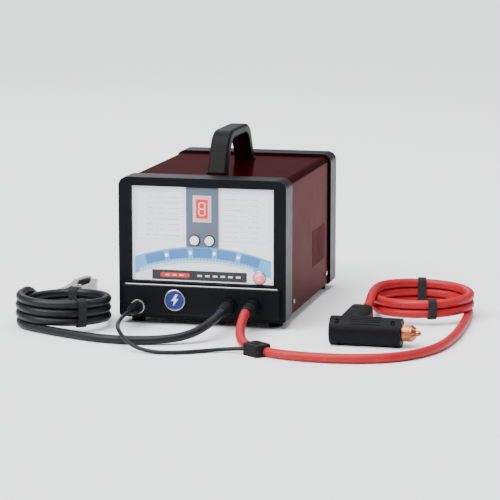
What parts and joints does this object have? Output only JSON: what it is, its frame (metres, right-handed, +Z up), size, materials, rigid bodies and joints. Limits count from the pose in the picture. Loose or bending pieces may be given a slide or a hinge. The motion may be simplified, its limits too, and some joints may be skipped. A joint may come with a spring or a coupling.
{
  "type": "spot welder",
  "caption": "Car-body spot welder: red steel case with black end frames, white digital panel and arched handle, pistol gun on a red cable and earth clamp on a black cable.",
  "frame": {"origin": "on the resting plane, under the middle of the power unit's footprint", "axes": "+X to the right seen from the front, +Y from the front panel to the back, +Z up"},
  "size_m": [0.677, 0.6059, 0.2837],
  "materials": {
    "end_frames": "moulded black",
    "red_cover": "glossy dark red paint",
    "tray_steel": "zinc plated",
    "screws": "plated",
    "soft_rubber": "matt",
    "handle_black": "satin",
    "panel_white": "printed white",
    "column_grey": "satin",
    "display_red": "clear red window",
    "button_white": "satin white",
    "band_blue": "printed foil",
    "lamp_white": "diffuse",
    "pilot_red": "tinted",
    "badge_blue": "glossy",
    "circuit_board": "solder mask",
    "iron_core": "varnished laminations",
    "winding": "enamelled copper",
    "copper": "bare copper",
    "aluminium_parts": "extruded",
    "module_black": "satin",
    "fan_black": "satin",
    "wire_guard": "plated wire",
    "gun_black": "fine grain",
    "trigger_red": "satin",
    "clamp_steel": "pressed and plated",
    "red_jacket": "satin",
    "black_jacket": "satin"
  },
  "bodies": {
    "unit": {"front_frame": "end_frames", "rear_frame": "end_frames", "base_tray": "tray_steel", "cover": "red_cover", "cover_screws": "screws", "feet": "soft_rubber", "handle": "handle_black", "handle_bolts": "screws", "panel_plate": "panel_white", "display_column": "column_grey", "display_window": "display_red", "blue_band": "band_blue", "function_lamps": "lamp_white", "pilot_lamp": "pilot_red", "control_board": "circuit_board", "badge_disc": "badge_blue", "gland_nuts": "end_frames", "cable_boots": "soft_rubber", "control_socket": "clamp_steel", "control_plug": "handle_black", "fan_housing": "fan_black", "fan_guard": "wire_guard", "switch_body": "module_black", "mains_gland": "end_frames", "transformer_core": "iron_core", "primary_coil": "winding", "secondary_turn": "copper", "core_brackets": "tray_steel", "busbars": "copper", "heatsink": "aluminium_parts", "thyristor_module": "module_black", "power_board": "circuit_board", "gun_shell_lower": "gun_black", "gun_shell_upper": "gun_black", "trigger_pin": "screws", "gun_switch": "module_black", "electrode_holder": "copper", "electrode_tip": "copper", "gun_screws": "screws", "gun_cable_boot": "soft_rubber", "clamp_fixed_lever": "clamp_steel", "clamp_pin": "screws", "clamp_spring": "screws", "gun_cable_lead": "red_jacket", "gun_cable_coil": "red_jacket", "gun_cable_tail": "red_jacket", "earth_cable_lead": "black_jacket", "earth_cable_coil": "black_jacket", "earth_cable_tail": "black_jacket", "control_lead": "black_jacket", "cable_branch": "soft_rubber"},
    "down_button_body": {"button_down": "button_white"},
    "up_button_body": {"button_up": "button_white"},
    "fan_body": {"fan_rotor": "fan_black"},
    "rocker_body": {"switch_rocker": "trigger_red"},
    "trigger_body": {"gun_trigger": "trigger_red"},
    "nut_body": {"collet_nut": "copper"},
    "clamp_arm_body": {"clamp_moving_lever": "clamp_steel"}
  },
  "joints": [
    {"name": "button_down_press", "type": "slide", "parent": "unit", "child": "down_button_body", "axis": [0, 1, 0], "range_m": [0, 0.001], "stiffness_N_per_m": 1500, "springref_m": -0.0003},
    {"name": "button_up_press", "type": "slide", "parent": "unit", "child": "up_button_body", "axis": [0, 1, 0], "range_m": [0, 0.001], "stiffness_N_per_m": 1500, "springref_m": -0.0003},
    {"name": "fan_spin", "type": "hinge", "parent": "unit", "child": "fan_body", "pos_m": [0.035, 0.176, 0.13], "axis": [0, 1, 0], "continuous": true},
    {"name": "mains_switch_rock", "type": "hinge", "parent": "unit", "child": "rocker_body", "pos_m": [-0.07, 0.19, 0.168], "axis": [1, 0, 0], "range_deg": [0, 16]},
    {"name": "trigger_pull", "type": "hinge", "parent": "unit", "child": "trigger_body", "pos_m": [0.25, -0.2385, 0.021], "axis": [0, 0, 1], "range_deg": [0, 9], "stiffness_Nm_per_rad": 0.5, "springref_deg": -5.73},
    {"name": "collet_nut_turn", "type": "hinge", "parent": "unit", "child": "nut_body", "pos_m": [0.33, -0.265, 0.021], "axis": [1, 0, 0], "continuous": true},
    {"name": "clamp_open", "type": "hinge", "parent": "unit", "child": "clamp_arm_body", "pos_m": [-0.251, -0.027, 0.012], "axis": [0, 0, -1], "range_deg": [0, 18], "stiffness_Nm_per_rad": 2, "springref_deg": -11.46}
  ]
}
